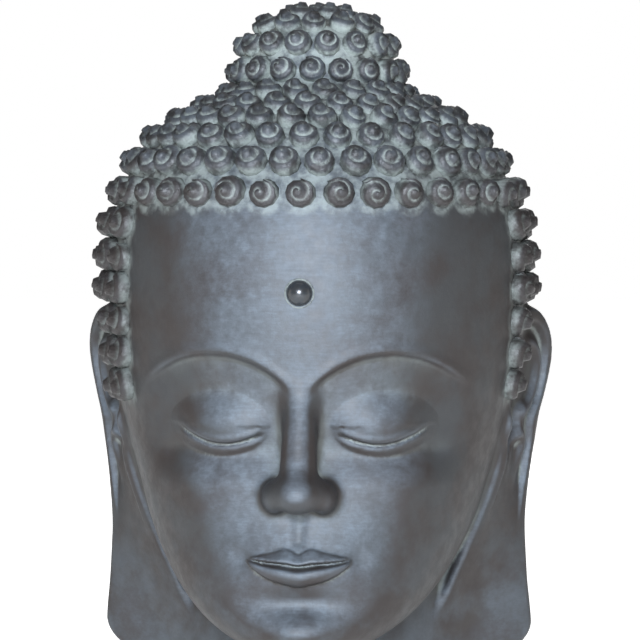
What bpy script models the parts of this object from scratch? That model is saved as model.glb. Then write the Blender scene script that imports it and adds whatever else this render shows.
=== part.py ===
# Fiberclay garden head, cast in one piece and cut flat below the neck
# Metres, +Z up, the face looks along -Y, and the origin is the middle of the flat base
import bmesh
import bpy
import numpy as np
from mathutils import Vector, geometry

# Driving sizes of the real object, in metres
totalHeight = 0.700  # flat base to the top of the hair
headWidth = 0.446  # across the hair above the ears
headDepth = 0.470  # hair at the front to hair at the back
curlDiameter = 0.034  # one snail-shell curl
curlRise = 0.018  # how far a curl stands out of the scalp
curlPitch = 0.0336  # from curl to curl along a row
rowPitch = 0.0310  # from row to row
beadDiameter = 0.026  # the bead on the forehead
beadRise = 0.009  # how far the bead stands out of the forehead
bareTriangles = 1660  # facets kept for the face, ears and neck

# The pattern is drawn in units of a head 700 high, 446 wide and 470 deep, and is scaled to the sizes above
pattern = np.array([446.0, 470.0, 700.0])
scale = np.array([headWidth, headDepth, totalHeight]) / pattern
gridStep = totalHeight / 140
seatUnder = 0.010  # the neck runs on this far below the base before it is cut flat
skullCentre = np.array([0.0, 8.0, 420.0])
longestGap = 1.42  # curls further apart than this share of the pitch share no valley
rimGap = np.radians(60)
flatAngle = np.radians(3)  # facets that turn less than this are one
rimDepth = 0.005  # the edge of the hair runs on this far under the skin
valleyRise = 0.0030  # the valleys between curls stand this far over it
shoulderShare = 0.62  # radius of a curl's shoulder, as a share of its radius
shoulderRise = 0.80  # height of the shoulder, as a share of the curl's rise
shellShare = 0.74  # the inner side of the cap of hair lies at this share of the way out
underHair = 0.008  # the skull lies this much deeper where curls cover it all
beadSides = 10
beadWall = 0.92  # radius of the bead's side, as a share of its radius
beadFoot = 0.008  # the bead runs on this far under the skin
plainBehind = 20.0  # curls further back than this have flat tops
crownShare = 0.85  # size of the curls on the crown bump, as a share of those in the first row

# Levels of the pattern, upwards from the base
chinLevel = 78.0
hairlineLevel = 495.0
third = (hairlineLevel - chinLevel) / 3  # forehead, nose and lower face are one third each
browLevel = hairlineLevel - third
noseLevel = chinLevel + third
eyeLevel = browLevel - 0.42 * third
mouthLevel = chinLevel + 0.66 * third
firstRowLevel = 511.0
smallCurlLevel = 620.0  # curls shrink from the first row up to here
beadLevel = browLevel + 0.45 * third
earTopLevel = 396.0
sideburnLevel = 322.0
napeLevel = 185.0
sideburnAngles = np.radians([72, 302])  # where a row starts and ends, round from the front over the left ear
behindEarAngles = np.radians([104, 256])
hairBehindEar = 52.0  # beside the ears, hair grows only further back than this
hairBeforeEar = -50.0  # or further forward than this


def smoothStep(low, high, value):
    t = np.clip((value - low) / (high - low), 0.0, 1.0)
    return t * t * (3 - 2 * t)


def bump(value, centre, width):
    return np.exp(-(((value - centre) / width) ** 2))


def joinSoft(a, b, blend):
    h = np.clip(0.5 + 0.5 * (b - a) / blend, 0.0, 1.0)
    return b + (a - b) * h - blend * h * (1 - h)


def cutSoft(a, b, blend):
    return -joinSoft(-a, b, blend)


def ellipsoid(x, y, z, centre, radii):
    u, v, w = ((p - c) / r for p, c, r in zip((x, y, z), centre, radii))
    near = np.sqrt(u * u + v * v + w * w)
    steep = np.sqrt((u / radii[0]) ** 2 + (v / radii[1]) ** 2 + (w / radii[2]) ** 2)
    return near * (near - 1) / np.maximum(steep, 1e-9)


def egg(x, y, z, level, width, front, back, rise, drop, powers, lean=(0.0, 0.0), plan=2.0):
    """A closed rounded form about a level: half width, depths and heights, and how square each half is."""
    up = z > level
    t = np.abs(z - level) / np.where(up, rise, drop)
    power = np.where(up, powers[0], powers[1])
    middle = lean[0] + np.where(up, 0.0, lean[1] * np.minimum(t, 1.2) ** 3)
    depth = np.where(y < middle, front, back)
    flat = (np.abs(x / width) ** plan + np.abs((y - middle) / depth) ** plan) ** (1 / plan)
    q = np.maximum((flat**power + t**power) ** (1 / power), 1e-6)
    reach = np.sqrt(x * x + (y - middle) ** 2 + (z - level) ** 2)
    return reach * (1 - 1 / q)


def cranium(x, y, z):
    return egg(x, y, z, 420, 206, 212, 222, 186, 300, (2.7, 2.3), lean=(0, 10))


def crownBump(x, y, z):
    return egg(x, y, z, 600, 81, 84, 84, 84.7, 88, (2.7, 2.0), lean=(10, 0))


def neck(x, y, z):
    flare = 1 + 0.10 * np.clip(1 - z / 110, 0, 1) ** 2
    q = np.sqrt((x / (148 * flare)) ** 2 + ((y - 24) / (126 * flare)) ** 2)
    folds = 3.0 * smoothStep(-20, -80, y) * (bump(z, 44, 5) + bump(z, 16, 5))
    return np.maximum(126 * (q - 1) + folds, z - 320)


def taperedRod(x, y, z, start, end, first, last):
    """A rod with round ends between two points, from the first radius to the last."""
    run = np.subtract(end, start)
    offset = [p - s for p, s in zip((x, y, z), start)]
    t = np.clip(sum(o * r for o, r in zip(offset, run)) / (run @ run), 0, 1)
    away = np.sqrt(sum((o - t * r) ** 2 for o, r in zip(offset, run)))
    return away - first - (last - first) * t


def bridge(x, y, z):
    """Ridge of the nose and its rounded tip."""
    ridge = taperedRod(x, y, z, (0, -189, browLevel - 2), (0, -229, noseLevel + 24), 13, 18)
    tip = ellipsoid(x, y, z, (0, -240, noseLevel + 17), (19, 18, 15))
    return joinSoft(ridge, tip, 16)


def nostrilWing(x, y, z):
    return ellipsoid(x, y, z, (23, -214, noseLevel + 14), (12, 24, 15))


def nostril(x, y, z):
    return ellipsoid(x, y, z, (12.5, -230, noseLevel - 3), (6, 10, 7))


def browLine(x):
    """Height of the arch that parts the forehead from the eye sockets."""
    t = np.clip((x - 8) / 148, 0, 1)
    return browLevel - 26 + 33 * (1 - np.abs(2 * t - 1) ** 2.2)


def slitLine(x):
    """Height of the line where the lids meet, from the inner to the outer corner."""
    t = np.clip((x - 36) / 83, 0, 1)
    return eyeLevel - 10 - 11 * np.sin(np.pi * t) + 7 * t**2


def eyeRelief(x, z):
    """How far the socket, lids and lid edge stand out of the egg of the face."""
    under = browLine(x) - z
    fade = smoothStep(eyeLevel - 62, eyeLevel - 20, z) * smoothStep(160, 118, x) * smoothStep(6, 24, x)
    relief = -11.0 * smoothStep(-1, 8, under) * fade + 1.6 * bump(under, -3, 6) * smoothStep(165, 140, x)
    high = z > eyeLevel - 3
    ball = 1 - ((x - 77) / 50) ** 2 - ((z - eyeLevel + 3) / np.where(high, 33, 29)) ** 2
    relief = relief + 14.0 * np.maximum(ball, 0) ** np.where(high, 0.90, 1.15)
    below = slitLine(x) - z
    across = smoothStep(32, 46, x) * smoothStep(123, 106, x)
    crease = -3.0 * bump(below, 1.2, 1.9)
    edge = 1.5 * smoothStep(-9, -3, below) * smoothStep(1.0, -1.0, below)
    lower = 1.3 * bump(below, 8, 4.5)
    return relief + across * (crease + edge + lower)


def lipRelief(x, z):
    corner = 50.0
    t = np.clip(x / corner, 0, 1)
    line = mouthLevel + 3.5 * t**2 - 1.6 * bump(x, 0, 10)
    top = line + (1 - t**2) * 12.5 + 2.4 * bump(x, 12, 8) - 1.6 * bump(x, 0, 5)
    bottom = line - (1 - t**2.4) ** 0.8 * 19.0
    inside = smoothStep(corner + 1, corner - 7, x)
    up = np.clip((z - line) / np.maximum(top - line, 1.0), 0, 1)
    down = np.clip((line - z) / np.maximum(line - bottom, 1.0), 0, 1)
    upper = (1 - up) ** 0.85 * smoothStep(-0.16, 0.30, up) * 7.8
    lower = np.sqrt(np.maximum(1 - ((down - 0.42) / 0.58) ** 2, 0)) * smoothStep(-0.16, 0.34, down) * 8.2
    border = 1.0 * smoothStep(1.5, -1.0, z - top) * smoothStep(-1.5, 1.0, z - bottom)
    parting = -2.4 * bump(z, line, 1.9)
    fullness = 1 - 0.6 * t**2
    dimple = -1.6 * bump(x, corner + 4, 9) * bump(z, mouthLevel + 4, 10)
    return inside * (np.where(z >= line, upper, lower) * fullness + border + parting) + dimple


def faceRelief(x, z):
    """All the soft modelling of the front. x is the distance from the middle."""
    muzzle = 9.0 * bump(x, 0, 50) * bump(z, mouthLevel + 2, 34)
    fold = -6.0 * bump(x, 0, 40) * bump(z, mouthLevel - 38, 14)
    chin = 9.0 * bump(x, 0, 36) * bump(z, chinLevel + 30, 21)
    cheek = 5.5 * bump(x, 98, 42) * bump(z, noseLevel + 22, 46)
    overLip = smoothStep(mouthLevel + 12, mouthLevel + 20, z)
    underNose = smoothStep(noseLevel + 4, noseLevel - 6, z)
    groove = -2.6 * bump(x, 0, 6.5) * overLip * underNose
    return muzzle + fold + chin + cheek + groove + eyeRelief(x, z) + lipRelief(x, z)


def face(x, y, z):
    base = egg(x, y, z, 360, 184, 196, 196, 260, 360 - chinLevel, (2.3, 2.3), lean=(-15, -150), plan=2.25)
    onFront = smoothStep(-60, -150, y)
    base = base - onFront * faceRelief(np.abs(x), z)
    side = np.abs(x)
    nosed = joinSoft(base, joinSoft(bridge(side, y, z), nostrilWing(side, y, z), 15), 10)
    return cutSoft(nosed, nostril(side, y, z), 3)


# The ear hangs on a line and swings out from it: height, line across, line back, rim across, rim back
earStations = np.array([
    (420, 184, -22, 222, 38),
    (370, 181, -34, 226, 46),
    (310, 178, -42, 215, 40),
    (250, 172, -46, 203, 28),
    (190, 154, -46, 204, 16),
    (130, 128, -44, 208, 16),
    (70, 104, -42, 214, 20),
    (20, 98, -40, 208, 20),
])


def smoothTable(stations, value):
    """Values of every column of the stations at the heights given, on smooth curves through them."""
    levels, columns = stations[::-1, 0], stations[::-1, 1:]
    tangents = np.gradient(columns, levels, axis=0)
    value = np.clip(value, levels[0], levels[-1])
    i = np.clip(np.searchsorted(levels, value) - 1, 0, len(levels) - 2)
    span = levels[i + 1] - levels[i]
    t = (value - levels[i]) / span
    a, b, c, d = 2 * t**3 - 3 * t**2 + 1, t**3 - 2 * t**2 + t, 3 * t**2 - 2 * t**3, t**3 - t**2
    curves = zip(columns.T, tangents.T)
    return [a * k[i] + b * span * m[i] + c * k[i + 1] + d * span * m[i + 1] for k, m in curves]


def ear(x, y, z):
    """Rim, groove, ridge, hollow, tragus and long lobe of an ear. x is the distance from the middle."""
    lineX, lineY, rimX, rimY = smoothTable(earStations, z)
    reachX, reachY = rimX - lineX, rimY - lineY
    reach = np.sqrt(reachX**2 + reachY**2)
    along = ((x - lineX) * reachX + (y - lineY) * reachY) / reach
    out = ((x - lineX) * reachY - (y - lineY) * reachX) / reach
    spread = reach / 100
    u = along / spread
    shell = (np.sqrt(((u - 46) / 54) ** 2 + ((z - 326) / 76) ** 2) - 1) * 56
    drop = np.maximum(np.abs(z - 170) - 88, 0)
    lobe = np.sqrt((u - 50) ** 2 + (drop * 1.25) ** 2) - 48
    outline = joinSoft(shell, lobe, 26) * spread
    inward = -outline
    rim = 9.0 * smoothStep(0, 5, inward) * smoothStep(17, 11, inward)
    rim = rim * smoothStep(165, 260, z) * smoothStep(-5, 25, u)
    ridge = 7.5 * bump(inward, 27, 6) * smoothStep(30, 52, u)
    ridge = ridge * smoothStep(215, 262, z) * smoothStep(392, 350, z)
    hollow = -16.0 * smoothStep(1, 0, np.sqrt(((u - 28) / 26) ** 2 + ((z - 290) / 48) ** 2))
    tragus = 9.0 * bump(u, 5, 10) * bump(z, 284, 17)
    dish = -5.0 * bump(u, 46, 28) * bump(z, 105, 52)
    thick = smoothStep(260, 110, z)
    skin = 8.0 + 4.0 * thick + rim + ridge + hollow + tragus + dish
    slab = -joinSoft(-(out - skin), out + 13.0 + 7.0 * thick, 8)
    return -joinSoft(-slab, -outline, 9)


def scalp(x, y, z):
    return joinSoft(cranium(x, y, z), crownBump(x, y, z), 24)


def skull(x, y, z):
    """Signed distance to the head without its ears and curls, in pattern units."""
    return joinSoft(joinSoft(scalp(x, y, z), face(x, y, z), 14), neck(x, y, z), 14)


def bareHead(x, y, z):
    """Signed distance to the head without its curls, in pattern units."""
    return joinSoft(skull(x, y, z), ear(np.abs(x), y, z), 8)


def slope(distance, points, reach=0.5):
    """Gradient of a distance function at points, by central differences."""
    steps = np.eye(3) * reach
    rises = [distance(*(points + s).T) - distance(*(points - s).T) for s in steps]
    return np.stack(rises, axis=1) / (2 * reach)


def edgeAt(levels, angles):
    """Points of the skull at heights and at angles round from the front."""
    low, high = np.zeros(len(angles)), np.full(len(angles), 260.0)
    for _ in range(24):
        middle = (low + high) / 2
        inside = skull(middle * np.sin(angles), skullCentre[1] - middle * np.cos(angles), levels) < 0
        low, high = np.where(inside, middle, low), np.where(inside, high, middle)
    return np.stack([low * np.sin(angles), skullCentre[1] - low * np.cos(angles), levels], axis=1)


def lengthAlong(points):
    return np.r_[0, np.cumsum(np.linalg.norm(np.diff(points * scale, axis=0), axis=1))]


def curlShare(level):
    return 1 - (1 - crownShare) * smoothStep(firstRowLevel, smallCurlLevel, level)


def ringOfCurls(level, start, end, closed, odd):
    """Equally spaced seats round the skull at a level; those of odd rows lie between those of even ones."""
    path = edgeAt(np.full(300, level), np.linspace(start, end, 300))
    run = lengthAlong(path)
    count = max(int(round(run[-1] / (curlPitch * curlShare(level)))), 1)
    at = np.linspace(0, run[-1], count + 1 + odd)
    if closed:
        at = (np.arange(count) + odd / 2) * run[-1] / count
    return np.stack([np.interp(at, run, path[:, i]) for i in range(3)], axis=1)


def curlSeats():
    """Where every curl sits on the skull, and which way it points."""
    top = skullCentre + (0, 0, 1)
    for _ in range(12):
        top = top - (0, 0, skull(*top[:, None])[0])
    levels = np.linspace(firstRowLevel, top[2] - 0.02, 1500)
    profile = np.vstack([edgeAt(levels, np.full(len(levels), np.pi / 2)), top])
    rows = np.r_[0, np.cumsum(np.diff(lengthAlong(profile)) / (rowPitch * curlShare(profile[1:, 2])))]
    count = int(round(rows[-1]))
    seats = [top[None]]
    for i in range(count):
        level = np.interp(i * rows[-1] / count, rows, profile[:, 2])
        seats.append(ringOfCurls(level, 0, 2 * np.pi, True, i % 2))
    step = rowPitch / scale[2]
    for i, level in enumerate(np.arange(firstRowLevel - step, napeLevel, -step)):
        start, end = sideburnAngles if level > sideburnLevel else behindEarAngles
        ring = ringOfCurls(level, start, end, False, i % 2)
        clear = (ring[:, 1] > hairBehindEar) | (ring[:, 1] < hairBeforeEar)
        seats.append(ring if level > earTopLevel + 8 else ring[clear])
    points = ontoSkull(np.concatenate(seats))
    normals = outward(points)
    edgeRow = np.abs(points[:, 2] - firstRowLevel) < step / 3
    normals[edgeRow, 2] *= 0.3
    return points, normals / np.linalg.norm(normals, axis=1, keepdims=True)


def ontoSkull(points):
    for _ in range(5):
        normal = slope(skull, points)
        points = points - skull(*points.T)[:, None] * normal / np.sum(normal**2, axis=1, keepdims=True)
    return points


def outward(points):
    """Outward direction of the skull at points, in metres of the finished head."""
    normal = slope(skull, points) / scale
    return normal / np.linalg.norm(normal, axis=1, keepdims=True)


def gridOf(low, high, step):
    return [np.arange(np.floor(a / step), np.ceil(b / step) + 1) * step for a, b in zip(low, high)]


def headField(axes):
    """The head without its curls as a distance in metres on a grid."""
    grid = np.meshgrid(*(a / s for a, s in zip(axes, scale)), indexing="ij")
    x, y, z = grid
    covered = np.maximum(smoothStep(firstRowLevel + 5, firstRowLevel + 25, z),
                         smoothStep(65, 90, y) * smoothStep(napeLevel + 15, napeLevel + 40, z))
    return np.maximum(bareHead(*grid) * scale.min() + underHair * covered, -(z * scale[2] + seatUnder))


def fromCrown(points):
    """Flat map of the scalp round the crown, seen from the middle of the skull, with no angle changed."""
    ray = points - skullCentre
    ray = ray / np.linalg.norm(ray, axis=1, keepdims=True)
    return ray[:, :2] / (1 + ray[:, 2:])


def curlCells():
    """Faceted curls that share the valleys between them: points and triangles, in metres."""
    seats, normals = curlSeats()
    centres = seats * scale
    flat = [Vector(p) for p in fromCrown(seats)]
    found = geometry.delaunay_2d_cdt(flat, [], [], 0, 1e-7)
    triangles = np.array([[found[3][v][0] for v in f] for f in found[2]])
    sides = np.linalg.norm(centres[triangles] - centres[np.roll(triangles, 1, axis=1)], axis=2)
    triangles = triangles[sides.max(axis=1) < longestGap * curlPitch]
    loose = True
    while loose:
        pairs = np.sort(np.stack([triangles, np.roll(triangles, 1, axis=1)], axis=2), axis=2).reshape(-1, 2)
        _, place, uses = np.unique(pairs, axis=0, return_inverse=True, return_counts=True)
        shared = (uses[place.ravel()] > 1).reshape(-1, 3)
        held = shared.sum(axis=1) > 1
        loose = not held.all()
        triangles = triangles[held]
    valleys = ontoSkull(seats[triangles].mean(axis=1))
    points = list(valleys * scale)
    depths = [-valleyRise] * len(points)
    corners = [[] for _ in seats]
    for v, triangle in enumerate(triangles):
        for seat in triangle:
            corners[seat].append(v)
    faces = []
    for seat, (centre, normal) in enumerate(zip(centres, normals)):
        radius = curlDiameter / 2 * curlShare(seats[seat][2])
        side = np.cross((0, 0, 1), normal) + (1e-6, 0, 0)
        side = side / np.linalg.norm(side)
        up = np.cross(normal, side)
        spokes = [(points[c] - centre, c) for c in corners[seat]]
        angles = sorted((np.arctan2(spoke @ up, spoke @ side), c) for spoke, c in spokes)
        loop = []
        for i in range(max(len(angles), 1)):
            start, corner = angles[i] if angles else (0.0, None)
            following, after = angles[(i + 1) % len(angles)] if angles else (0.0, None)
            gap = (following - start) % (2 * np.pi) or 2 * np.pi
            between = set(triangles[corner]) & set(triangles[after]) - {seat} if corner is not None else ()
            toward = [centres[b] - centre for b in between if corner != after]
            linked = any((np.arctan2(t @ up, t @ side) - start) % (2 * np.pi) < gap for t in toward)
            extra = 0 if linked else max(int(round(gap / rimGap)) - 1, 0)
            if corner is not None:
                loop.append(corner)
                if not linked:
                    depths[corner] = depths[after] = rimDepth
            for j in range(extra + (corner is None)):
                angle = start + (j + 1) * gap / (extra + 1)
                away = np.cos(angle) * side + np.sin(angle) * up
                ahead = (centres - centre) @ away
                halfway = np.sum((centres - centre) ** 2, axis=1) / 2 / np.maximum(ahead, 1e-6)
                free = min(radius, 0.94 * halfway[ahead > 1e-4].min())
                points.append(ontoSkull((centre + free * away)[None] / scale)[0] * scale)
                depths.append(rimDepth)
                loop.append(len(points) - 1)
        faces.append((seat, loop))
    outside = outward(np.array(points) / scale)
    points = [p - d * n for p, d, n in zip(points, depths, outside)]
    triangles = []
    for seat, loop in faces:
        centre, normal, share = centres[seat], normals[seat], curlShare(seats[seat][2])
        first = len(points)
        for corner in loop:
            away = points[corner] - centre
            away = away - (away @ normal) * normal
            length = np.linalg.norm(away)
            wide = shoulderShare * min(curlDiameter / 2 * share, length)
            points.append(centre + away / length * wide + normal * shoulderRise * curlRise * share)
        plain = seats[seat][1] > plainBehind
        if not plain:
            points.append(centre + normal * curlRise * share)
        apex = first if plain else len(points) - 1
        for i in range(len(loop)):
            j = (i + 1) % len(loop)
            triangles += [(loop[i], loop[j], first + j), (loop[i], first + j, first + i)]
            if apex not in (first + i, first + j):
                triangles.append((first + i, first + j, apex))
    return np.array(points), np.array(triangles)


def closedShell(name, points, triangles, middle):
    """Turns an open sheet into a solid by adding a smaller copy of it inside and walls along its edge."""
    inner = middle + (points - middle) * shellShare
    sides = np.concatenate([triangles[:, [0, 1]], triangles[:, [1, 2]], triangles[:, [2, 0]]])
    known = set(map(tuple, sides.tolist()))
    count = len(points)
    walls = [(b, a, a + count, b + count) for a, b in known if (b, a) not in known]
    faces = triangles.tolist() + (triangles[:, ::-1] + count).tolist() + walls
    return meshObject(name, np.vstack([points, inner]), faces)


def meshObject(name, points, faces):
    mesh = bpy.data.meshes.new(name)
    mesh.from_pydata(np.round(points, 6).tolist(), [], faces)
    made = bpy.data.objects.new(name, mesh)
    bpy.context.scene.collection.objects.link(made)
    return made


def bead():
    """The bead on the forehead: a dome of rings on an axis that points forward."""
    seat = np.array([0.0, -230.0, beadLevel])
    for _ in range(6):
        seat[1] += bareHead(*seat[:, None])[0]
    front, level = seat[1] * scale[1] - beadRise, seat[2] * scale[2]
    profile = [(beadWall, beadRise + beadFoot), (beadWall, 0.75 * beadRise), (0.60, 0.22 * beadRise)]
    turn = np.arange(beadSides) * 2 * np.pi / beadSides
    rings = []
    for share, back in profile:
        radius = share * beadDiameter / 2
        ring = [radius * np.cos(turn), np.full(beadSides, front + back), radius * np.sin(turn) + level]
        rings.append(np.stack(ring, axis=1))
    points = np.vstack(rings + [np.array([[0, front, level]])])
    faces = [tuple(range(beadSides))[::-1]]
    for ring in range(len(profile) - 1):
        for i in range(beadSides):
            j = (i + 1) % beadSides
            low, high = ring * beadSides, (ring + 1) * beadSides
            faces.append((low + i, low + j, high + j, high + i))
    last = (len(profile) - 1) * beadSides
    faces += [(last + i, last + (i + 1) % beadSides, len(points) - 1) for i in range(beadSides)]
    return meshObject("bead", points, faces)


def wellComposed(field):
    """Fills the outer corners of cells where two parts of the form would meet only along a line."""
    for _ in range(12):
        found = 0
        for one, two in ((0, 1), (0, 2), (1, 2)):
            def corner(i, j):
                shift = {one: slice(i, i - 1 or None), two: slice(j, j - 1 or None)}
                return field[tuple(shift.get(axis, slice(None)) for axis in range(3))]
            a, b, c, d = corner(0, 0), corner(1, 1), corner(0, 1), corner(1, 0)
            first = (a < 0) & (b < 0) & (c >= 0) & (d >= 0)
            second = (a >= 0) & (b >= 0) & (c < 0) & (d < 0)
            found += first.sum() + second.sum()
            c[first & (c <= d)] = -1e-6
            d[first & (c > d)] = -1e-6
            a[second & (a <= b)] = -1e-6
            b[second & (a > b)] = -1e-6
        if not found:
            break
    return field


def surfaceNet(field, axes):
    """One vertex in each grid cell that the surface crosses, joined by quads across the crossed edges."""
    inside = wellComposed(field) < 0
    corners = np.array([(i, j, k) for i in (0, 1) for j in (0, 1) for k in (0, 1)])
    size = [n - 1 for n in field.shape]
    full = sum(inside[i:i + size[0], j:j + size[1], k:k + size[2]].astype(np.int8) for i, j, k in corners)
    cells = np.argwhere((full > 0) & (full < 8))
    label = np.full(size, -1)
    label[tuple(cells.T)] = np.arange(len(cells))
    total, count = np.zeros((len(cells), 3)), np.zeros(len(cells))
    for a in corners:
        for axis in range(3):
            if a[axis]:
                continue
            b = a.copy()
            b[axis] = 1
            ia, ib = tuple((cells + a).T), tuple((cells + b).T)
            fa, fb = field[ia], field[ib]
            crossed = (fa < 0) != (fb < 0)
            share = np.where(crossed, fa / np.where(crossed, fa - fb, 1), 0)
            start = np.stack([axes[d][ia[d]] for d in range(3)], axis=1)
            start[:, axis] += share * (axes[axis][ib[axis]] - axes[axis][ia[axis]])
            total += start * crossed[:, None]
            count += crossed
    vertices = total / count[:, None]
    quads = []
    for axis in range(3):
        one, two = (axis + 1) % 3, (axis + 2) % 3
        first = inside[tuple(slice(0, -1) if d == axis else slice(None) for d in range(3))]
        last = inside[tuple(slice(1, None) if d == axis else slice(None) for d in range(3))]
        for flipped in (False, True):
            edges = np.argwhere((first & ~last) if not flipped else (~first & last))
            around = []
            for back1, back2 in ((1, 1), (0, 1), (0, 0), (1, 0)):
                cell = edges.copy()
                cell[:, one] -= back1
                cell[:, two] -= back2
                around.append(label[tuple(cell.T)])
            quad = np.stack(around, axis=1)
            quads.append(quad[:, ::-1] if flipped else quad)
    return vertices, np.concatenate(quads)


def fiberclay():
    material = bpy.data.materials.new("fiberclay")
    material.use_nodes = True
    shader = material.node_tree.nodes["Principled BSDF"]
    shader.inputs["Base Color"].default_value = (0.085, 0.092, 0.105, 1)
    shader.inputs["Roughness"].default_value = 0.5
    return material


def fixed(made):
    """Keeps what an object's modifiers make and drops the modifiers."""
    mesh = bpy.data.meshes.new_from_object(made.evaluated_get(bpy.context.evaluated_depsgraph_get()))
    made.modifiers.clear()
    made.data = mesh
    return made


def united(body, tool, crossing=False):
    """Joins a solid to a body. A tool whose faces may cross each other needs the slower union."""
    union = body.modifiers.new("Union", "BOOLEAN")
    union.operation = "UNION"
    union.solver = "EXACT"
    union.use_self = crossing
    union.object = tool
    fixed(body)
    bpy.data.objects.remove(tool, do_unlink=True)
    return body


def makeHead():
    reach = np.array([0.53 * headWidth, 0.60 * headDepth]) + 0.02
    low = np.array([-reach[0], -reach[1] - 0.02, -2 * seatUnder - gridStep])
    high = np.array([reach[0], reach[1], totalHeight + curlRise + 0.02])
    axes = gridOf(low, high, gridStep)
    vertices, quads = surfaceNet(headField(axes), axes)
    head = meshObject("fiberclay_head", vertices, quads.tolist())
    keepHalf(head.data, (1, 0, 0), False)
    thin = head.modifiers.new("Fewer facets", "DECIMATE")
    thin.ratio = bareTriangles / (2 * len(quads))
    fixed(head)
    mirrored(head.data)
    united(head, bead())
    united(head, closedShell("hair", *curlCells(), skullCentre * scale), crossing=True)
    mesh = head.data
    keepHalf(mesh, (0, 0, 1), True)
    mesh.materials.clear()
    mesh.materials.append(fiberclay())
    return head


def keepHalf(mesh, normal, closed):
    """Keeps what lies on the side a normal points to, and closes the cut with one flat face if asked."""
    work = bmesh.new()
    work.from_mesh(mesh)
    parts = work.verts[:] + work.edges[:] + work.faces[:]
    settings = {"dist": 1e-5, "plane_co": (0, 0, 0), "plane_no": normal, "clear_inner": True}
    cut = bmesh.ops.bisect_plane(work, geom=parts, **settings)
    if closed:
        rim = [e for e in cut["geom_cut"] if isinstance(e, bmesh.types.BMEdge)]
        bmesh.ops.contextual_create(work, geom=rim)
        bmesh.ops.dissolve_limit(work, angle_limit=flatAngle, verts=work.verts[:], edges=work.edges[:])
        bmesh.ops.triangulate(work, faces=work.faces[:])
        bmesh.ops.recalc_face_normals(work, faces=work.faces[:])
    work.to_mesh(mesh)
    work.free()


def mirrored(mesh):
    """Sets the open edge of a half head on the middle plane and adds the other half."""
    work = bmesh.new()
    work.from_mesh(mesh)
    for edge in work.edges:
        if edge.is_boundary:
            for vertex in edge.verts:
                vertex.co.x = 0.0
    bmesh.ops.mirror(work, geom=work.verts[:] + work.edges[:] + work.faces[:], axis="X", merge_dist=1e-5)
    bmesh.ops.recalc_face_normals(work, faces=work.faces[:])
    work.to_mesh(mesh)
    work.free()


def main():
    for old in list(bpy.data.objects):
        bpy.data.objects.remove(old, do_unlink=True)
    makeHead()


main()
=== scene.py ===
# Fiberclay garden head: fine skin, snail-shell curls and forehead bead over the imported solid
# Metres, +Z up, the face looks along -Y, origin on the flat base
import math

import bmesh
import bpy
import numpy as np
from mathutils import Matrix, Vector, kdtree


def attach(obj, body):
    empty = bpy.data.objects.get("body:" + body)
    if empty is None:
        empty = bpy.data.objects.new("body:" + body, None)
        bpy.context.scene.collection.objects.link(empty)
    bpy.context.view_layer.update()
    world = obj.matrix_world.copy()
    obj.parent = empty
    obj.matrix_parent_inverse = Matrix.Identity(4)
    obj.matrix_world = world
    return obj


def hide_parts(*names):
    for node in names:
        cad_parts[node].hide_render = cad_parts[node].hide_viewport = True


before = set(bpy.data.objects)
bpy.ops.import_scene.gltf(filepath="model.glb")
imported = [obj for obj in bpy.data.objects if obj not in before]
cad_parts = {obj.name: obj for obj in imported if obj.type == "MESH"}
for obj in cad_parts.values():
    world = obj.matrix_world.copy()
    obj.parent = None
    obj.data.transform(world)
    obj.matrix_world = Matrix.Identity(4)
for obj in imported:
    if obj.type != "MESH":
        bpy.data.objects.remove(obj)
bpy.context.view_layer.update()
bodyName = "root"
solidName = "fiberclay_head"

# The form is drawn in units of a head 700 high, 446 wide and 470 deep, as the solid's source draws it
headSize = {
    "width": 0.446,  # across the hair above the ears
    "depth": 0.470,
    "height": 0.700,  # flat base to the top of the hair
    "curlPitch": 0.0336,  # from curl to curl along a row
    "rowPitch": 0.0310,
    "crownShare": 0.85,  # size of the curls on the crown bump, as a share of those in the first row
}

# The pattern's units, turned into metres
pattern = np.array([446.0, 470.0, 700.0])
scale = np.array([headSize["width"], headSize["depth"], headSize["height"]]) / pattern
skullCentre = np.array([0.0, 8.0, 420.0])
curlPitch = headSize["curlPitch"]
rowPitch = headSize["rowPitch"]
crownShare = headSize["crownShare"]

# Levels of the pattern, upwards from the base
chinLevel = 78.0
hairlineLevel = 495.0
third = (hairlineLevel - chinLevel) / 3  # forehead, nose and lower face are one third each
browLevel = hairlineLevel - third
noseLevel = chinLevel + third
eyeLevel = browLevel - 0.42 * third
mouthLevel = chinLevel + 0.66 * third
firstRowLevel = 511.0
smallCurlLevel = 620.0  # curls shrink from the first row up to here
beadLevel = browLevel + 0.45 * third
earTopLevel = 396.0
sideburnLevel = 322.0
napeLevel = 185.0
sideburnAngles = np.radians([72, 302])  # where a row starts and ends, round from the front over the left ear
behindEarAngles = np.radians([104, 256])
hairBehindEar = 52.0  # beside the ears, hair grows only further back than this
hairBeforeEar = -50.0  # or further forward than this
firstRowRise = 0.3  # curls of the first row look this share as much upwards as the skull under them


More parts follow.
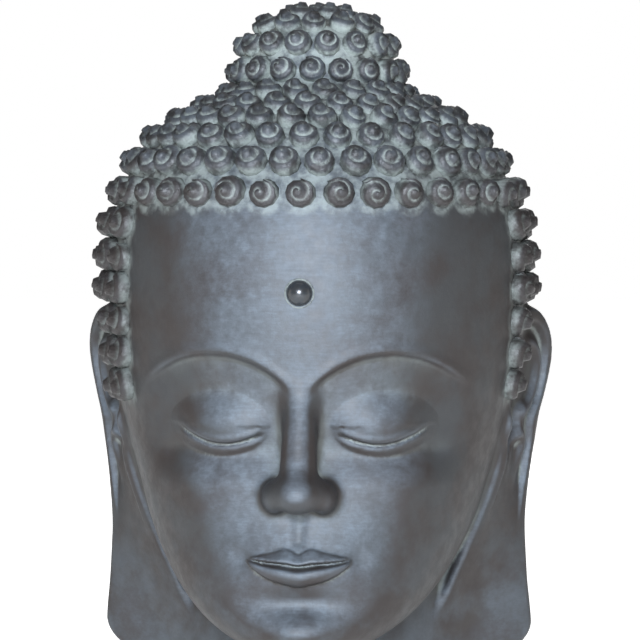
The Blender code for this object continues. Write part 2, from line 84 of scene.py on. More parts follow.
# Large forms: level of the widest part, half width, depth before and behind, height above and below,
# how square the halves above and below are, and how far the middle lies back, above and at the lower end
craniumForm = {
    "level": 420,
    "width": 206,
    "front": 212,
    "back": 222,
    "rise": 186,
    "drop": 300,
    "powers": (2.7, 2.3),
    "lean": (0, 10),
}
crownForm = {
    "level": 600,
    "width": 81,
    "front": 84,
    "back": 84,
    "rise": 84.7,
    "drop": 88,
    "powers": (2.7, 2.0),
    "lean": (10, 0),
}
faceForm = {
    "level": 360,
    "width": 184,
    "front": 196,
    "back": 196,
    "rise": 260,
    "drop": 360 - chinLevel,
    "powers": (2.3, 2.3),
    "lean": (-15, -150),
    "plan": 2.25,
}
neckForm = {
    "width": 148,
    "depth": 126,
    "middle": 24,
    "top": 320,
    "flare": 0.10,  # the foot is this share wider
    "flareTop": 110,
    "folds": (44, 16),  # levels of the two folds in front
    "foldDepth": 3.0,
    "foldWidth": 5,
}
noseForm = {
    "root": (0, -189, browLevel - 2),
    "end": (0, -229, noseLevel + 24),
    "radii": (13, 18),
    "tip": ((0, -240, noseLevel + 17), (19, 18, 15)),
    "wing": ((23, -214, noseLevel + 14), (12, 24, 15)),
    "nostril": ((12.5, -230, noseLevel - 3), (6, 10, 7)),
}
blends = {"tip": 16, "wing": 15, "nose": 10, "nostril": 3, "crown": 24, "face": 14, "neck": 14, "ear": 8}


def smoothStep(low, high, value):
    t = np.clip((value - low) / (high - low), 0.0, 1.0)
    return t * t * (3 - 2 * t)


def bump(value, centre, width):
    return np.exp(-(((value - centre) / width) ** 2))


def joinSoft(a, b, blend):
    h = np.clip(0.5 + 0.5 * (b - a) / blend, 0.0, 1.0)
    return b + (a - b) * h - blend * h * (1 - h)


def cutSoft(a, b, blend):
    return -joinSoft(-a, b, blend)


def ellipsoid(x, y, z, centre, radii):
    u, v, w = ((p - c) / r for p, c, r in zip((x, y, z), centre, radii))
    near = np.sqrt(u * u + v * v + w * w)
    steep = np.sqrt((u / radii[0]) ** 2 + (v / radii[1]) ** 2 + (w / radii[2]) ** 2)
    return near * (near - 1) / np.maximum(steep, 1e-9)


# A closed rounded form about a level: half width, depths and heights, and how square each half is
def egg(x, y, z, level, width, front, back, rise, drop, powers, lean, plan=2.0):
    up = z > level
    t = np.abs(z - level) / np.where(up, rise, drop)
    power = np.where(up, powers[0], powers[1])
    middle = lean[0] + np.where(up, 0.0, lean[1] * np.minimum(t, 1.2) ** 3)
    depth = np.where(y < middle, front, back)
    flat = (np.abs(x / width) ** plan + np.abs((y - middle) / depth) ** plan) ** (1 / plan)
    q = np.maximum((flat**power + t**power) ** (1 / power), 1e-6)
    reach = np.sqrt(x * x + (y - middle) ** 2 + (z - level) ** 2)
    return reach * (1 - 1 / q)


def neck(x, y, z):
    width, depth = neckForm["width"], neckForm["depth"]
    flare = 1 + neckForm["flare"] * np.clip(1 - z / neckForm["flareTop"], 0, 1) ** 2
    q = np.sqrt((x / (width * flare)) ** 2 + ((y - neckForm["middle"]) / (depth * flare)) ** 2)
    folds = sum(bump(z, level, neckForm["foldWidth"]) for level in neckForm["folds"])
    folds = neckForm["foldDepth"] * smoothStep(-20, -80, y) * folds
    return np.maximum(depth * (q - 1) + folds, z - neckForm["top"])


# A rod with round ends between two points, from the first radius to the last
def taperedRod(x, y, z, start, end, first, last):
    run = np.subtract(end, start)
    offset = [p - s for p, s in zip((x, y, z), start)]
    t = np.clip(sum(o * r for o, r in zip(offset, run)) / (run @ run), 0, 1)
    away = np.sqrt(sum((o - t * r) ** 2 for o, r in zip(offset, run)))
    return away - first - (last - first) * t


# Ridge of the nose and its rounded tip
def bridge(x, y, z):
    ridge = taperedRod(x, y, z, noseForm["root"], noseForm["end"], *noseForm["radii"])
    return joinSoft(ridge, ellipsoid(x, y, z, *noseForm["tip"]), blends["tip"])


# Height of the arch that parts the forehead from the eye sockets
def browLine(x):
    t = np.clip((x - 8) / 148, 0, 1)
    return browLevel - 26 + 33 * (1 - np.abs(2 * t - 1) ** 2.2)


# Height of the line where the lids meet, from the inner to the outer corner
def slitLine(x):
    t = np.clip((x - 36) / 83, 0, 1)
    return eyeLevel - 10 - 11 * np.sin(np.pi * t) + 7 * t**2


# How far the socket, lids and lid edge stand out of the egg of the face
def eyeRelief(x, z):
    under = browLine(x) - z
    fade = smoothStep(eyeLevel - 62, eyeLevel - 20, z) * smoothStep(160, 118, x) * smoothStep(6, 24, x)
    relief = -11.0 * smoothStep(-1, 8, under) * fade + 1.6 * bump(under, -3, 6) * smoothStep(165, 140, x)
    high = z > eyeLevel - 3
    ball = 1 - ((x - 77) / 50) ** 2 - ((z - eyeLevel + 3) / np.where(high, 33, 29)) ** 2
    relief = relief + 14.0 * np.maximum(ball, 0) ** np.where(high, 0.90, 1.15)
    below = slitLine(x) - z
    across = smoothStep(32, 46, x) * smoothStep(123, 106, x)
    crease = -3.0 * bump(below, 1.2, 1.9)
    edge = 1.5 * smoothStep(-9, -3, below) * smoothStep(1.0, -1.0, below)
    lower = 1.3 * bump(below, 8, 4.5)
    return relief + across * (crease + edge + lower)


def lipRelief(x, z):
    corner = 50.0
    t = np.clip(x / corner, 0, 1)
    line = mouthLevel + 3.5 * t**2 - 1.6 * bump(x, 0, 10)
    top = line + (1 - t**2) * 12.5 + 2.4 * bump(x, 12, 8) - 1.6 * bump(x, 0, 5)
    bottom = line - (1 - t**2.4) ** 0.8 * 19.0
    inside = smoothStep(corner + 1, corner - 7, x)
    up = np.clip((z - line) / np.maximum(top - line, 1.0), 0, 1)
    down = np.clip((line - z) / np.maximum(line - bottom, 1.0), 0, 1)
    upper = (1 - up) ** 0.85 * smoothStep(-0.16, 0.30, up) * 7.8
    lower = np.sqrt(np.maximum(1 - ((down - 0.42) / 0.58) ** 2, 0)) * smoothStep(-0.16, 0.34, down) * 8.2
    border = 1.0 * smoothStep(1.5, -1.0, z - top) * smoothStep(-1.5, 1.0, z - bottom)
    parting = -2.4 * bump(z, line, 1.9)
    fullness = 1 - 0.6 * t**2
    dimple = -1.6 * bump(x, corner + 4, 9) * bump(z, mouthLevel + 4, 10)
    return inside * (np.where(z >= line, upper, lower) * fullness + border + parting) + dimple


# All the soft modelling of the front. x is the distance from the middle
def faceRelief(x, z):
    muzzle = 9.0 * bump(x, 0, 50) * bump(z, mouthLevel + 2, 34)
    fold = -6.0 * bump(x, 0, 40) * bump(z, mouthLevel - 38, 14)
    chin = 9.0 * bump(x, 0, 36) * bump(z, chinLevel + 30, 21)
    cheek = 5.5 * bump(x, 98, 42) * bump(z, noseLevel + 22, 46)
    overLip = smoothStep(mouthLevel + 12, mouthLevel + 20, z)
    underNose = smoothStep(noseLevel + 4, noseLevel - 6, z)
    groove = -2.6 * bump(x, 0, 6.5) * overLip * underNose
    return muzzle + fold + chin + cheek + groove + eyeRelief(x, z) + lipRelief(x, z)


def face(x, y, z):
    side = np.abs(x)
    onFront = smoothStep(-60, -150, y)
    base = egg(x, y, z, **faceForm) - onFront * faceRelief(side, z)
    nose = joinSoft(bridge(side, y, z), ellipsoid(side, y, z, *noseForm["wing"]), blends["wing"])
    nostril = ellipsoid(side, y, z, *noseForm["nostril"])
    return cutSoft(joinSoft(base, nose, blends["nose"]), nostril, blends["nostril"])


# The ear hangs on a line and swings out from it: height, line across, line back, rim across, rim back
earStations = np.array([
    (420, 184, -22, 222, 38),
    (370, 181, -34, 226, 46),
    (310, 178, -42, 215, 40),
    (250, 172, -46, 203, 28),
    (190, 154, -46, 204, 16),
    (130, 128, -44, 208, 16),
    (70, 104, -42, 214, 20),
    (20, 98, -40, 208, 20),
])


# Values of every column of the stations at the heights given, on smooth curves through them
def smoothTable(stations, value):
    levels, columns = stations[::-1, 0], stations[::-1, 1:]
    tangents = np.gradient(columns, levels, axis=0)
    value = np.clip(value, levels[0], levels[-1])
    i = np.clip(np.searchsorted(levels, value) - 1, 0, len(levels) - 2)
    span = levels[i + 1] - levels[i]
    t = (value - levels[i]) / span
    a, b, c, d = 2 * t**3 - 3 * t**2 + 1, t**3 - 2 * t**2 + t, 3 * t**2 - 2 * t**3, t**3 - t**2
    curves = zip(columns.T, tangents.T)
    return [a * k[i] + b * span * m[i] + c * k[i + 1] + d * span * m[i + 1] for k, m in curves]


# Rim, groove, ridge, hollow, tragus and long lobe of an ear. x is the distance from the middle
def ear(x, y, z):
    lineX, lineY, rimX, rimY = smoothTable(earStations, z)
    reachX, reachY = rimX - lineX, rimY - lineY
    reach = np.sqrt(reachX**2 + reachY**2)
    along = ((x - lineX) * reachX + (y - lineY) * reachY) / reach
    out = ((x - lineX) * reachY - (y - lineY) * reachX) / reach
    spread = reach / 100
    u = along / spread
    shell = (np.sqrt(((u - 46) / 54) ** 2 + ((z - 326) / 76) ** 2) - 1) * 56
    drop = np.maximum(np.abs(z - 170) - 88, 0)
    lobe = np.sqrt((u - 50) ** 2 + (drop * 1.25) ** 2) - 48
    outline = joinSoft(shell, lobe, 26) * spread
    inward = -outline
    rim = 9.0 * smoothStep(0, 5, inward) * smoothStep(17, 11, inward)
    rim = rim * smoothStep(165, 260, z) * smoothStep(-5, 25, u)
    ridge = 7.5 * bump(inward, 27, 6) * smoothStep(30, 52, u)
    ridge = ridge * smoothStep(215, 262, z) * smoothStep(392, 350, z)
    hollow = -16.0 * smoothStep(1, 0, np.sqrt(((u - 28) / 26) ** 2 + ((z - 290) / 48) ** 2))
    tragus = 9.0 * bump(u, 5, 10) * bump(z, 284, 17)
    dish = -5.0 * bump(u, 46, 28) * bump(z, 105, 52)
    thick = smoothStep(260, 110, z)
    skin = 8.0 + 4.0 * thick + rim + ridge + hollow + tragus + dish
    slab = -joinSoft(-(out - skin), out + 13.0 + 7.0 * thick, 8)
    return -joinSoft(-slab, -outline, 9)


def scalp(x, y, z):
    return joinSoft(egg(x, y, z, **craniumForm), egg(x, y, z, **crownForm), blends["crown"])


# Signed distance to the head without its ears and curls, in pattern units
def skull(x, y, z):
    faced = joinSoft(scalp(x, y, z), face(x, y, z), blends["face"])
    return joinSoft(faced, neck(x, y, z), blends["neck"])


# Signed distance to the head without its curls, in pattern units
def bareHead(x, y, z):
    return joinSoft(skull(x, y, z), ear(np.abs(x), y, z), blends["ear"])


# Gradient of a distance function at points, by central differences
def slope(distance, points, reach=0.5):
    steps = np.eye(3) * reach
    rises = [distance(*(points + s).T) - distance(*(points - s).T) for s in steps]
    return np.stack(rises, axis=1) / (2 * reach)


# Points of the skull at heights and at angles round from the front
def edgeAt(levels, angles):
    low, high = np.zeros(len(angles)), np.full(len(angles), 260.0)
    for _ in range(24):
        middle = (low + high) / 2
        inside = skull(middle * np.sin(angles), skullCentre[1] - middle * np.cos(angles), levels) < 0
        low, high = np.where(inside, middle, low), np.where(inside, high, middle)
    return np.stack([low * np.sin(angles), skullCentre[1] - low * np.cos(angles), levels], axis=1)


def lengthAlong(points):
    return np.r_[0, np.cumsum(np.linalg.norm(np.diff(points * scale, axis=0), axis=1))]


def curlShare(level):
    return 1 - (1 - crownShare) * smoothStep(firstRowLevel, smallCurlLevel, level)


# Equally spaced seats round the skull at a level; those of odd rows lie between those of even ones
def ringOfCurls(level, start, end, closed, odd):
    path = edgeAt(np.full(300, level), np.linspace(start, end, 300))
    run = lengthAlong(path)
    count = max(int(round(run[-1] / (curlPitch * curlShare(level)))), 1)
    at = np.linspace(0, run[-1], count + 1 + odd)
    if closed:
        at = (np.arange(count) + odd / 2) * run[-1] / count
    return np.stack([np.interp(at, run, path[:, i]) for i in range(3)], axis=1)


# Where every curl sits on the skull, and which way it points
def curlSeats():
    top = skullCentre + (0, 0, 1)
    for _ in range(12):
        top = top - (0, 0, skull(*top[:, None])[0])
    levels = np.linspace(firstRowLevel, top[2] - 0.02, 1500)
    profile = np.vstack([edgeAt(levels, np.full(len(levels), np.pi / 2)), top])
    rows = np.r_[0, np.cumsum(np.diff(lengthAlong(profile)) / (rowPitch * curlShare(profile[1:, 2])))]
    count = int(round(rows[-1]))
    seats = [top[None]]
    for i in range(count):
        level = np.interp(i * rows[-1] / count, rows, profile[:, 2])
        seats.append(ringOfCurls(level, 0, 2 * np.pi, True, i % 2))
    step = rowPitch / scale[2]
    for i, level in enumerate(np.arange(firstRowLevel - step, napeLevel, -step)):
        start, end = sideburnAngles if level > sideburnLevel else behindEarAngles
        ring = ringOfCurls(level, start, end, False, i % 2)
        clear = (ring[:, 1] > hairBehindEar) | (ring[:, 1] < hairBeforeEar)
        seats.append(ring if level > earTopLevel + 8 else ring[clear])
    points = ontoSkull(np.concatenate(seats))
    normals = outward(points)
    edgeRow = np.abs(points[:, 2] - firstRowLevel) < step / 3
    normals[edgeRow, 2] *= firstRowRise
    return points, normals / np.linalg.norm(normals, axis=1, keepdims=True)


def ontoSkull(points):
    for _ in range(5):
        normal = slope(skull, points)
        points = points - skull(*points.T)[:, None] * normal / np.sum(normal**2, axis=1, keepdims=True)
    return points


# Outward direction of the skull at points, in metres of the finished head
def outward(points):
    normal = slope(skull, points) / scale
    return normal / np.linalg.norm(normal, axis=1, keepdims=True)


# The grid's values at one corner of every cell face that spans two axes
def faceCorners(field, one, two, i, j):
    shift = {one: slice(i, i - 1 or None), two: slice(j, j - 1 or None)}
    return field[tuple(shift.get(axis, slice(None)) for axis in range(3))]


# Fills the outer corners of cells where two parts of the form would meet only along a line
def wellComposed(field):
    for _ in range(12):
        found = 0
        for one, two in ((0, 1), (0, 2), (1, 2)):
            a, b = faceCorners(field, one, two, 0, 0), faceCorners(field, one, two, 1, 1)
            c, d = faceCorners(field, one, two, 0, 1), faceCorners(field, one, two, 1, 0)
            first = (a < 0) & (b < 0) & (c >= 0) & (d >= 0)
            second = (a >= 0) & (b >= 0) & (c < 0) & (d < 0)
            found += first.sum() + second.sum()
            c[first & (c <= d)] = -1e-6
            d[first & (c > d)] = -1e-6
            a[second & (a <= b)] = -1e-6
            b[second & (a > b)] = -1e-6
        if not found:
            break
    return field


# One vertex in each grid cell that the surface crosses, joined by quads across the crossed edges
def surfaceNet(field, axes):
    inside = wellComposed(field) < 0
    corners = np.array(list(np.ndindex(2, 2, 2)))
    size = [n - 1 for n in field.shape]
    full = sum(inside[i:i + size[0], j:j + size[1], k:k + size[2]].astype(np.int8) for i, j, k in corners)
    cells = np.argwhere((full > 0) & (full < 8))
    label = np.full(size, -1)
    label[tuple(cells.T)] = np.arange(len(cells))
    total, count = np.zeros((len(cells), 3)), np.zeros(len(cells))
    for a in corners:
        for axis in range(3):
            if a[axis]:
                continue
            b = a.copy()
            b[axis] = 1
            ia, ib = tuple((cells + a).T), tuple((cells + b).T)
            fa, fb = field[ia], field[ib]
            crossed = (fa < 0) != (fb < 0)
            share = np.where(crossed, fa / np.where(crossed, fa - fb, 1), 0)
            start = np.stack([axes[d][ia[d]] for d in range(3)], axis=1)
            start[:, axis] += share * (axes[axis][ib[axis]] - axes[axis][ia[axis]])
            total += start * crossed[:, None]
            count += crossed
    vertices = total / count[:, None]
    quads = []
    for axis in range(3):
        one, two = (axis + 1) % 3, (axis + 2) % 3
        first = inside[tuple(slice(0, -1) if d == axis else slice(None) for d in range(3))]
        last = inside[tuple(slice(1, None) if d == axis else slice(None) for d in range(3))]
        for flipped in (False, True):
            edges = np.argwhere((first & ~last) if not flipped else (~first & last))
            around = []
            for back1, back2 in ((1, 1), (0, 1), (0, 0), (1, 0)):
                cell = edges.copy()
                cell[:, one] -= back1
                cell[:, two] -= back2
                around.append(label[tuple(cell.T)])
            quad = np.stack(around, axis=1)
            quads.append(quad[:, ::-1] if flipped else quad)
    return vertices, np.concatenate(quads)


# Skin: face, ears, neck and the scalp between the curls
skinValues = {
    "step": 0.0020,  # grid of the modelling, fine enough for the edges of the lids
    "quickStep": 0.0032,
    "coarse": 4,  # fine steps in one step of the first, rough pass
    "beside": 0.53,  # the grid reaches this far to each side, as a share of the head's width
    "before": 0.61,  # and forwards, as a share of its depth
    "behind": 0.53,
    "margin": 0.012,
    "band": 1.9,  # the rough pass keeps this many coarse steps on each side of the surface
    "chunk": 400000,  # grid points worked out at a time
    "baseBand": 0.002,  # below this height a vertex belongs to the flat base
    "triangles": 186000,
    "fine": 5,  # smoothing passes that tell a narrow crease from its surroundings
    "broad": 45,
    "creaseBend": (50.0, 190.0),  # 1/m, how sharply a crease turns where patina starts, and where it fills it
    "edgeBend": (50.0, 220.0),
    "hollowDepth": 0.0035,
    "hairBand": 0.004,  # patina lies this far out from the foot of a curl
}


# Cells of the rough grid, repeated for the fine cells inside them, and one more layer at the far sides
def refined(cells, ratio, mode):
    fine = cells.repeat(ratio, 0).repeat(ratio, 1).repeat(ratio, 2)
    return np.pad(fine, ((0, 1),) * 3, mode=mode)


# Signed distance on a fine grid, worked out only near the surface
def fineField(values):
    step = values["step"]
    ratio, margin = values["coarse"], values["margin"]
    coarse = ratio * step
    side = values["beside"] * headSize["width"] + margin
    front = values["before"] * headSize["depth"] + margin
    back = values["behind"] * headSize["depth"] + margin
    low, high = (-side, -front, -margin), (side, back, headSize["height"] + margin)
    rough = [np.arange(a, b + coarse, coarse) for a, b in zip(low, high)]
    sizes = [len(a) for a in rough]
    grid = np.meshgrid(*(a / s for a, s in zip(rough, scale)), indexing="ij")
    first = np.maximum(bareHead(*grid) * scale.min(), -grid[2] * scale[2])
    close = np.abs(first) < coarse * values["band"]
    blocks = np.zeros([n - 1 for n in sizes], bool)
    for i, j, k in np.ndindex(2, 2, 2):
        blocks |= close[i:i + sizes[0] - 1, j:j + sizes[1] - 1, k:k + sizes[2] - 1]
    axes = [low[d] + np.arange((sizes[d] - 1) * ratio + 1) * step for d in range(3)]
    sides = np.where(first < 0, -1.0, 1.0)[:-1, :-1, :-1]
    field = refined(sides, ratio, "edge").astype(np.float32)
    need = refined(blocks, ratio, "constant")
    for d in range(3):
        ahead = tuple(slice(1, None) if e == d else slice(None) for e in range(3))
        behind = tuple(slice(0, -1) if e == d else slice(None) for e in range(3))
        need[ahead] |= need[behind].copy()
    places = np.argwhere(need)
    for part in np.array_split(places, len(places) // values["chunk"] + 1):
        x, y, z = (axes[d][part[:, d]] for d in range(3))
        head = bareHead(x / scale[0], y / scale[1], z / scale[2]) * scale.min()
        field[tuple(part.T)] = np.maximum(head, -z)
    return field, axes


# Points moved straight onto the modelled surface, apart from those of the flat base
def settled(points, baseBand):
    free = points[:, 2] > baseBand
    inner = points[free] / scale
    for _ in range(2):
        slopes = slope(bareHead, inner, 0.25)
        steep = np.maximum(np.sum(slopes**2, axis=1, keepdims=True), 0.05)
        inner = inner - np.clip(bareHead(*inner.T)[:, None] * slopes / steep, -1.0, 1.0)
    points[free] = inner * scale
    return points


def meshPiece(name, points, faces):
    mesh = bpy.data.meshes.new(name)
    mesh.from_pydata(points.tolist(), [], faces)
    mesh.shade_smooth()
    piece = bpy.data.objects.new(name, mesh)
    bpy.context.scene.collection.objects.link(piece)
    return piece


# Keeps what the modifiers make and drops the modifiers
def plainMesh(piece):
    graph = bpy.context.evaluated_depsgraph_get()
    mesh = bpy.data.meshes.new_from_object(piece.evaluated_get(graph))
    piece.modifiers.clear()
    piece.data = mesh
    mesh.shade_smooth()


def turnFacesOut(mesh):
    work = bmesh.new()
    work.from_mesh(mesh)
    bmesh.ops.recalc_face_normals(work, faces=work.faces[:])
    work.to_mesh(mesh)
    work.free()


# Stores a number or a direction with every vertex
def setAttribute(mesh, name, values):
    kind, part = ("FLOAT", "value") if values.ndim == 1 else ("FLOAT_VECTOR", "vector")
    layer = mesh.attributes.new(name, kind, "POINT")
    layer.data.foreach_set(part, values.astype(np.float32).ravel())


def meshArrays(mesh):
    points = np.zeros(len(mesh.vertices) * 3)
    normals = np.zeros(len(mesh.vertices) * 3)
    edges = np.zeros(len(mesh.edges) * 2, int)
    mesh.vertices.foreach_get("co", points)
    mesh.vertices.foreach_get("normal", normals)
    mesh.edges.foreach_get("vertices", edges)
    return points.reshape(-1, 3), normals.reshape(-1, 3), edges.reshape(-1, 2)


# Each value becomes the mean of its neighbours, several times over
def averaged(data, edges, passes):
    size = len(data)
    a, b = edges.T
    count = np.maximum(np.bincount(a, minlength=size) + np.bincount(b, minlength=size), 1)
    columns = data.reshape(size, -1).T.copy()
    for _ in range(passes):
        for column in columns:
            column[:] = (np.bincount(a, column[b], size) + np.bincount(b, column[a], size)) / count
    return columns.T.reshape(data.shape)


# How far each vertex lies below the mean of its surroundings
def sunken(points, normals, edges, passes):
    return -np.sum((points - averaged(points, edges, passes)) * normals, axis=1)


# Mean square of the edges that meet at each vertex
def edgeSquares(points, edges):
    a, b = edges.T
    squares = np.sum((points[a] - points[b]) ** 2, axis=1)
    ends = np.bincount(a, squares, len(points)) + np.bincount(b, squares, len(points))
    return ends / np.bincount(edges.ravel(), minlength=len(points))


def distanceToSeats(points, seats):
    tree = kdtree.KDTree(len(seats))
    for i, seat in enumerate(seats):
        tree.insert(seat, i)
    tree.balance()
    return np.array([tree.find(p)[2] for p in points])


# Marks the creases, hollows, edges and the foot of the hair, which the finish reads
def markWear(mesh, seats, values):
    points, normals, edges = meshArrays(mesh)
    spacing = averaged(edgeSquares(points, edges), edges, 3)
    narrow = sunken(points, normals, edges, values["fine"]) / (values["fine"] * spacing) * 4
    bend = averaged(narrow, edges, 1)
    wide = sunken(points, normals, edges, values["broad"]) / values["hollowDepth"]
    fromHair = distanceToSeats(points, seats) - curlValues["diameter"] / 2
    setAttribute(mesh, "crease", smoothStep(*values["creaseBend"], bend))
    setAttribute(mesh, "hollow", averaged(np.clip(wide, 0, 1), edges, 3))
    setAttribute(mesh, "edge", smoothStep(*values["edgeBend"], -bend))
    setAttribute(mesh, "hairFoot", smoothStep(values["hairBand"], 0.0, fromHair))


def makeSkin(values, seats, finish):
    points, quads = surfaceNet(*fineField(values))
    skin = meshPiece("skin", settled(points, values["baseBand"]), quads.tolist())
    print("skin: modelled with", len(quads), "quads")
    thin = skin.modifiers.new("Fewer faces", "DECIMATE")
    thin.ratio = min(1.0, values["triangles"] / (2 * len(quads)))
    plainMesh(skin)
    markWear(skin.data, seats, values)
    skin.data.materials.clear()
    skin.data.materials.append(finish)
    print("skin:", len(skin.data.polygons), "faces after thinning")
    return skin


# Curls: one snail shell, set on every seat of the scalp by Geometry Nodes
curlValues = {
    "diameter": 0.0385,
    "fuller": 1.08,  # curls away from the forehead are this much wider and run into each other
    "rise": 0.0188,  # out of the scalp
    "turns": 2.3,
    "steps": 11,  # in a turn
    "growth": 0.80,  # how the strand widens outwards
    "roundness": 2.10,  # higher makes a flatter top and steeper sides
    "groove": 0.34,  # depth of the spiral groove, as a share of the rise
    "outerGroove": 0.4,  # the outermost turn's groove is this share as deep
    "grooveStart": 6,  # the groove reaches its depth after this many steps
    "ridge": 0.60,  # the strand is highest at this share of its width
    "lip": 0.13,  # height of the outer edge, as a share of the rise
    "tailSteps": 6,  # the strand's end thins out over these steps
    "tailTaper": 0.75,  # of its width
    "tailDrop": 0.6,  # of the groove's depth
    "grooveShine": (0.34, 0.48),  # how rubbed the groove is, inside and in the outermost turn
    "foot": -0.35,  # the closed underside lies below the scalp
    "footSpread": 1.02,
    "sizeSpread": 0.13,
    "tiltSpread": 0.16,  # radians
    "turnSpread": 1.1,  # radians
    "seed": 11,
    "tiltSeeds": (3, 4),
    "tintSeed": 5,
    "frontRow": (0.01, -0.05),  # half height of the first row, and where its part over the forehead ends
}


# A closed shell one unit wide and one unit high, its strand wound round the middle
def snailShell(values):
    steps = values["steps"]
    total = int(round(values["turns"] * steps))
    points, worn = [(0.0, 0.0, 1.0)], [1.0]

    def place(angle, radius, drop, shine):
        height = 1 - (2 * radius) ** values["roundness"] * (1 - values["lip"]) - drop
        points.append((radius * math.cos(angle), radius * math.sin(angle), height))
        worn.append(shine)
        return len(points) - 1

    def reach(k):
        return 0.5 * max(k, 0) ** values["growth"] / total ** values["growth"]

    groove, ridge = [0], [0]
    for k in range(1, total + 1):
        angle = k * 2 * math.pi / steps
        near, far = reach(k - steps), reach(k)
        outside = k > total - steps
        tail = smoothStep(total - values["tailSteps"], total, k)
        if outside:
            far -= values["tailTaper"] * (far - near) * tail**2
        depth = values["groove"] * (values["outerGroove"] if outside else 1.0)
        depth *= min(1, k / values["grooveStart"])
        groove.append(place(angle, far, depth, values["grooveShine"][outside]))
        crest = near + (far - near) * values["ridge"]
        ridge.append(place(angle, crest, values["tailDrop"] * values["groove"] * tail, 1.0))
    faces = []
    for k in range(total):
        back, ahead = groove[max(k - steps, 0)], groove[max(k + 1 - steps, 0)]
        inner = (ridge[k], ridge[k + 1], ahead, back)
        outer = (groove[k], groove[k + 1], ridge[k + 1], ridge[k])
        for strip in (inner, outer):
            loop = list(dict.fromkeys(strip))
            if len(loop) > 2:
                faces.append(loop)
    rim = groove[total - steps:] + [ridge[total]]
    first = len(points)
    for v in rim:
        x, y, _ = points[v]
        points.append((x * values["footSpread"], y * values["footSpread"], values["foot"]))
        worn.append(0.0)
    for i in range(len(rim)):
        j = (i + 1) % len(rim)
        faces.append([rim[i], first + i, first + j, rim[j]])
    faces.append(list(range(first, len(points)))[::-1])
    shell = meshPiece("oneCurl", np.array(points), faces)
    turnFacesOut(shell.data)
    setAttribute(shell.data, "worn", np.array(worn))
    return shell


# One node with its settings, its links and its fixed inputs
def addNode(tree, kind, links=None, **settings):
    node = tree.nodes.new(kind)
    for name, value in settings.items():
        setattr(node, name, value)
    for socket, source in (links or {}).items():
        if isinstance(source, bpy.types.NodeSocket):
            tree.links.new(source, node.inputs[socket])
        else:
            node.inputs[socket].default_value = source
    return node


def maths(tree, operation, first, second, clamp=False):
    node = addNode(tree, "ShaderNodeMath", {0: first, 1: second}, operation=operation, use_clamp=clamp)
    return node.outputs[0]


# A random number for every curl, between two limits
def drawn(tree, low, high, seed):
    return addNode(tree, "FunctionNodeRandomValue", {2: low, 3: high, "Seed": seed}).outputs[1]


def stored(tree, name, kind="FLOAT"):
    return addNode(tree, "GeometryNodeInputNamedAttribute", {"Name": name}, data_type=kind).outputs[0]


def combinedXYZ(tree, x, y, z):
    return addNode(tree, "ShaderNodeCombineXYZ", {"X": x, "Y": y, "Z": z}).outputs[0]


def curlTree(settings, tiltSeeds, tintSeed):
    tree = bpy.data.node_groups.new("Curls on a scalp", "GeometryNodeTree")
    kinds = {int: "Int", float: "Float", bpy.types.Object: "Object", bpy.types.Material: "Material"}
    tree.interface.new_socket("Seats", in_out="INPUT", socket_type="NodeSocketGeometry")
    for name, value in settings.items():
        tree.interface.new_socket(name, in_out="INPUT", socket_type="NodeSocket" + kinds[type(value)])
    tree.interface.new_socket("Hair", in_out="OUTPUT", socket_type="NodeSocketGeometry")
    given = tree.nodes.new("NodeGroupInput").outputs
    seed, turnSpread, tiltSpread = given["Seed"], given["Turn spread"], given["Tilt spread"]
    up = {"Vector": stored(tree, "outward", "FLOAT_VECTOR")}
    facing = addNode(tree, "FunctionNodeAlignRotationToVector", up, axis="Z").outputs[0]
    turn = drawn(tree, maths(tree, "MULTIPLY", turnSpread, -1.0), turnSpread, seed)
    back = maths(tree, "MULTIPLY", tiltSpread, -1.0)
    tilts = [drawn(tree, back, tiltSpread, tiltSeed) for tiltSeed in tiltSeeds]
    spin = addNode(tree, "FunctionNodeEulerToRotation", {0: combinedXYZ(tree, *tilts, turn)}).outputs[0]
    both = {0: facing, 1: spin}
    turned = addNode(tree, "FunctionNodeRotateRotation", both, rotation_space="LOCAL").outputs[0]
    size = drawn(tree, maths(tree, "SUBTRACT", 1.0, given["Size spread"]), 1.0, seed)
    widest = maths(tree, "MULTIPLY", given["Curl width"], stored(tree, "widthShare"))
    highest = maths(tree, "MULTIPLY", given["Curl rise"], stored(tree, "riseShare"))
    width, rise = (maths(tree, "MULTIPLY", most, size) for most in (widest, highest))
    curl = addNode(tree, "GeometryNodeObjectInfo", {"Object": given["Curl"]}).outputs["Geometry"]
    links = {"Points": given["Seats"], "Instance": curl, "Rotation": turned,
             "Scale": combinedXYZ(tree, width, width, rise)}
    placed = addNode(tree, "GeometryNodeInstanceOnPoints", links).outputs[0]
    links = {"Geometry": placed, "Name": "tint", "Value": drawn(tree, 0.0, 1.0, tintSeed)}
    tinted = addNode(tree, "GeometryNodeStoreNamedAttribute", links, data_type="FLOAT", domain="INSTANCE")
    real = addNode(tree, "GeometryNodeRealizeInstances", {"Geometry": tinted.outputs[0]}).outputs[0]
    done = addNode(tree, "GeometryNodeSetMaterial", {"Geometry": real, "Material": given["Finish"]})
    addNode(tree, "NodeGroupOutput", {0: done.outputs[0]})
    return tree


